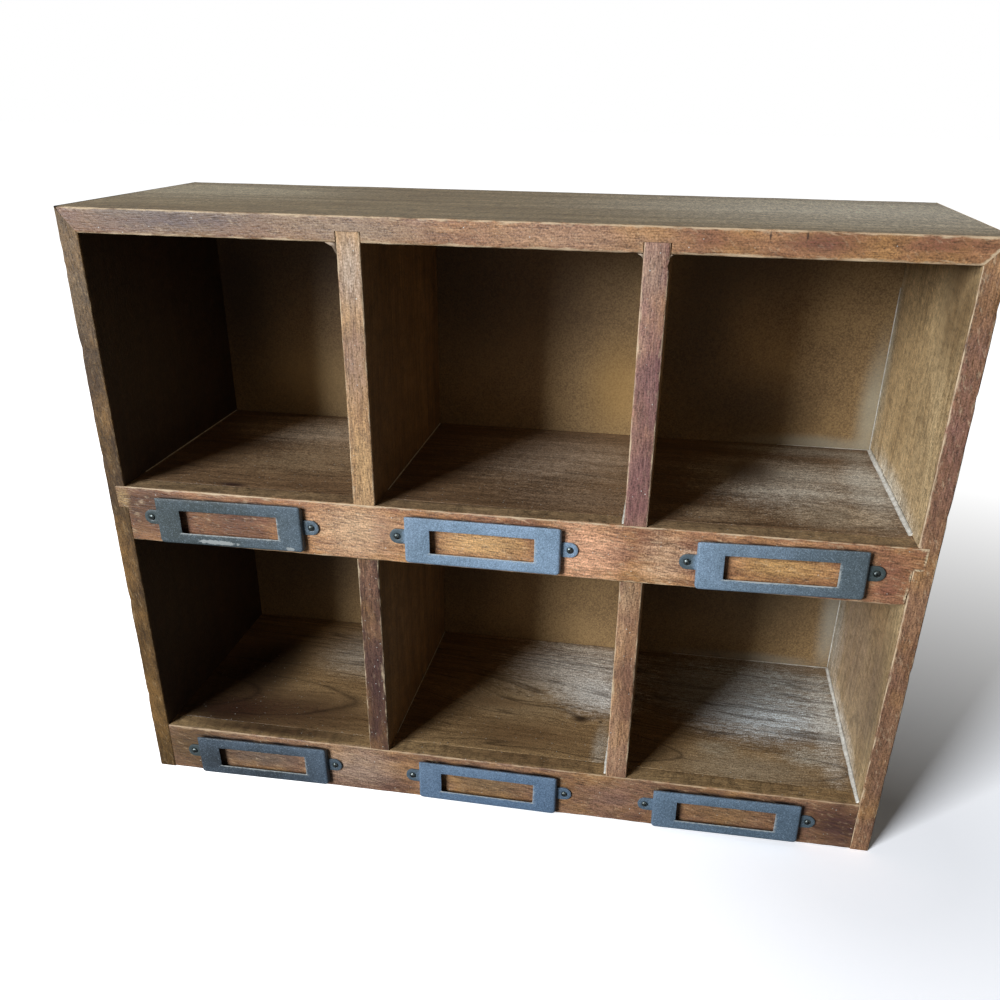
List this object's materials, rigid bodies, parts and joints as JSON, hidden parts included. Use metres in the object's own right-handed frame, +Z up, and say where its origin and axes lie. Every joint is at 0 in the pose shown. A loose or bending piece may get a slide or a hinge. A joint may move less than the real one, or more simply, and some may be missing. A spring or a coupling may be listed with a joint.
{
  "type": "cubby organizer",
  "caption": "Open-fronted wooden desk organizer with two rows of cubbies, label rails and folded steel label holders.",
  "frame": {"origin": "on the floor, under the middle of the whole width and depth", "axes": "+X to the right seen from the front, +Y from the front to the back, +Z up"},
  "size_m": [0.432, 0.154, 0.33],
  "materials": {
    "stained_hardwood": "worn satin stain",
    "stained_hardboard": "matte stain",
    "slate_powder_coat": "hammered satin",
    "darkened_steel": "darkened",
    "bright_steel": "satin"
  },
  "bodies": {
    "root": {"top_board": "stained_hardwood", "left_side": "stained_hardwood", "right_side": "stained_hardwood", "shelf_front_rail": "stained_hardwood", "shelf_board": "stained_hardwood", "bottom_front_rail": "stained_hardwood", "bottom_board": "stained_hardwood", "upper_left_divider": "stained_hardwood", "upper_right_divider": "stained_hardwood", "lower_left_divider": "stained_hardwood", "lower_right_divider": "stained_hardwood", "back_panel": "stained_hardboard", "back_panel_pins": "bright_steel", "upper_left_label_holder": "slate_powder_coat", "upper_centre_label_holder": "slate_powder_coat", "upper_right_label_holder": "slate_powder_coat", "lower_left_label_holder": "slate_powder_coat", "lower_centre_label_holder": "slate_powder_coat", "lower_right_label_holder": "slate_powder_coat", "upper_left_holder_pins": "darkened_steel", "upper_centre_holder_pins": "darkened_steel", "upper_right_holder_pins": "darkened_steel", "lower_left_holder_pins": "darkened_steel", "lower_centre_holder_pins": "darkened_steel", "lower_right_holder_pins": "darkened_steel"}
  },
  "joints": []
}
